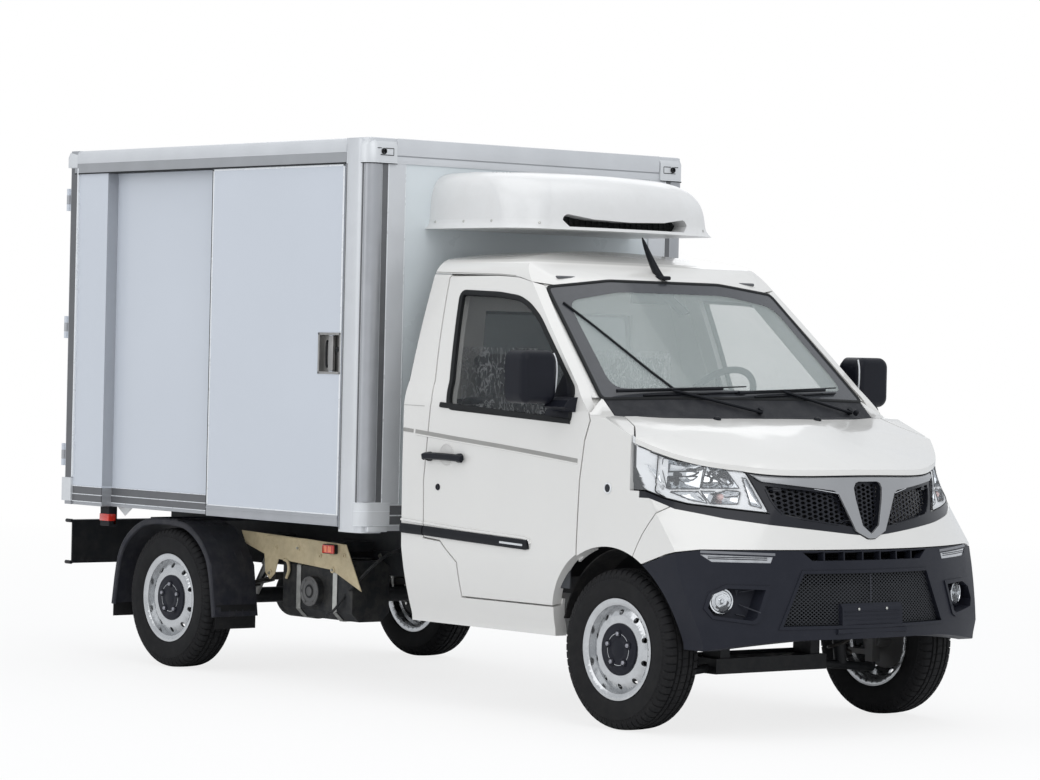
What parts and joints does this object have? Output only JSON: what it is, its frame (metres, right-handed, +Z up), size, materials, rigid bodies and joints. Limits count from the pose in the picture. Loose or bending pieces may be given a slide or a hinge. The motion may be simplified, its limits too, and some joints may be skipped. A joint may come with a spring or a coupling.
{
  "type": "refrigerated truck",
  "caption": "Small bonneted truck with an insulated load box, a cooling unit over the cab, a sliding side door and hinged rear doors.",
  "frame": {"origin": "on the ground under the middle of the overall length and width", "axes": "+X ahead, +Y to the vehicle's left, +Z up"},
  "size_m": [4.5338, 2, 2.3],
  "materials": {
    "cab_paint": "gloss",
    "box_panel": "satin",
    "profile": "satin",
    "black_plastic": "fine grain",
    "grille_trim": "satin",
    "bar_satin": "satin",
    "glass": "clear",
    "lamp": "clear",
    "marker_lens": "moulded lens",
    "rubber": "matt",
    "tyre": "matt",
    "wheel_silver": "satin",
    "chassis_black": "satin",
    "primer": "matt primer",
    "spring_steel": "matt",
    "engine": "rough",
    "steel": "dull",
    "interior": "grained",
    "seat": "woven",
    "wheel_rim_grip": "soft",
    "unit_white": "gloss"
  },
  "bodies": {
    "vehicle": {"cab_sides": "cab_paint", "cab_roof": "cab_paint", "cab_rear_wall": "cab_paint", "cab_glass": "glass", "cowl_panel": "black_plastic", "front_wings": "cab_paint", "front_panel": "cab_paint", "front_bumper": "black_plastic", "front_lamps": "lamp", "grille": "grille_trim", "grille_bar": "bar_satin", "cab_floor": "interior", "dashboard": "interior", "seats": "seat", "chassis_frame": "chassis_black", "rear_underrun_beam": "chassis_black", "spring_hangers": "primer", "leaf_springs": "spring_steel", "gas_tank": "chassis_black", "engine_block": "engine", "exhaust": "steel", "rear_axle": "chassis_black", "prop_shaft": "chassis_black", "front_suspension": "chassis_black", "front_arch_liners": "black_plastic", "rear_mudguards": "black_plastic", "box_front_frame": "profile", "box_side_rails": "profile", "box_side_walls": "box_panel", "box_front_wall": "box_panel", "box_roof": "box_panel", "box_floor": "box_panel", "box_rear_frame": "profile", "cooling_unit": "unit_white", "evaporator": "unit_white", "rear_lamps_and_markers": "marker_lens", "wipers": "black_plastic"},
    "left_steer": {"left_knuckle": "engine"},
    "right_steer": {"right_knuckle": "engine"},
    "front_left_wheel": {"front_left_tyre": "tyre", "front_left_rim": "wheel_silver"},
    "front_right_wheel": {"front_right_tyre": "tyre", "front_right_rim": "wheel_silver"},
    "rear_left_wheel": {"rear_left_tyre": "tyre", "rear_left_rim": "wheel_silver"},
    "rear_right_wheel": {"rear_right_tyre": "tyre", "rear_right_rim": "wheel_silver"},
    "steering_wheel_body": {"steering_wheel": "wheel_rim_grip"},
    "right_cab_door": {"right_door_panel": "cab_paint", "right_door_glass": "glass", "right_door_mirror": "black_plastic"},
    "left_cab_door": {"left_door_panel": "cab_paint", "left_door_glass": "glass", "left_door_mirror": "black_plastic"},
    "bonnet_lid": {"bonnet": "cab_paint"},
    "sliding_side_door": {"side_door": "box_panel"},
    "right_box_door": {"right_rear_door": "box_panel"},
    "left_box_door": {"left_rear_door": "box_panel"}
  },
  "joints": [
    {"name": "steer_left", "type": "hinge", "parent": "vehicle", "child": "left_steer", "pos_m": [1.655, 0.62, 0.309], "axis": [0, 0, 1], "range_deg": [-35, 35]},
    {"name": "steer_right", "type": "hinge", "parent": "vehicle", "child": "right_steer", "pos_m": [1.655, -0.62, 0.309], "axis": [0, 0, 1], "range_deg": [-35, 35]},
    {"name": "steering_wheel_turn", "type": "hinge", "parent": "vehicle", "child": "steering_wheel_body", "pos_m": [0.958, 0.37, 1.234], "axis": [-0.788, 0, 0.6157], "range_deg": [-490, 490]},
    {"name": "front_left_spin", "type": "hinge", "parent": "left_steer", "child": "front_left_wheel", "pos_m": [1.655, 0.69, 0.309], "axis": [0, 1, 0], "continuous": true},
    {"name": "front_right_spin", "type": "hinge", "parent": "right_steer", "child": "front_right_wheel", "pos_m": [1.655, -0.69, 0.309], "axis": [0, 1, 0], "continuous": true},
    {"name": "rear_left_spin", "type": "hinge", "parent": "vehicle", "child": "rear_left_wheel", "pos_m": [-1.345, 0.69, 0.309], "axis": [0, 1, 0], "continuous": true},
    {"name": "rear_right_spin", "type": "hinge", "parent": "vehicle", "child": "rear_right_wheel", "pos_m": [-1.345, -0.69, 0.309], "axis": [0, 1, 0], "continuous": true},
    {"name": "right_cab_door_swing", "type": "hinge", "parent": "vehicle", "child": "right_cab_door", "pos_m": [1.515, -0.8, 1], "axis": [0, 0, 1], "range_deg": [0, 65]},
    {"name": "left_cab_door_swing", "type": "hinge", "parent": "vehicle", "child": "left_cab_door", "pos_m": [1.515, 0.8, 1], "axis": [0, 0, -1], "range_deg": [0, 65]},
    {"name": "bonnet_lift", "type": "hinge", "parent": "vehicle", "child": "bonnet_lid", "pos_m": [1.575, 0, 1.216], "axis": [0, -1, 0], "range_deg": [0, 45]},
    {"name": "side_door_slide", "type": "slide", "parent": "vehicle", "child": "sliding_side_door", "axis": [-1, 0, 0], "range_m": [0, 0.808]},
    {"name": "right_box_door_swing", "type": "hinge", "parent": "vehicle", "child": "right_box_door", "pos_m": [-2.057, -0.87, 1.5], "axis": [0, 0, 1], "range_deg": [0, 270]},
    {"name": "left_box_door_swing", "type": "hinge", "parent": "vehicle", "child": "left_box_door", "pos_m": [-2.057, 0.87, 1.5], "axis": [0, 0, -1], "range_deg": [0, 270]}
  ],
  "couplings": [
    {"joint": "steer_right", "follows": "steer_left", "ratio": 1},
    {"joint": "steering_wheel_turn", "follows": "steer_left", "ratio": 14}
  ]
}
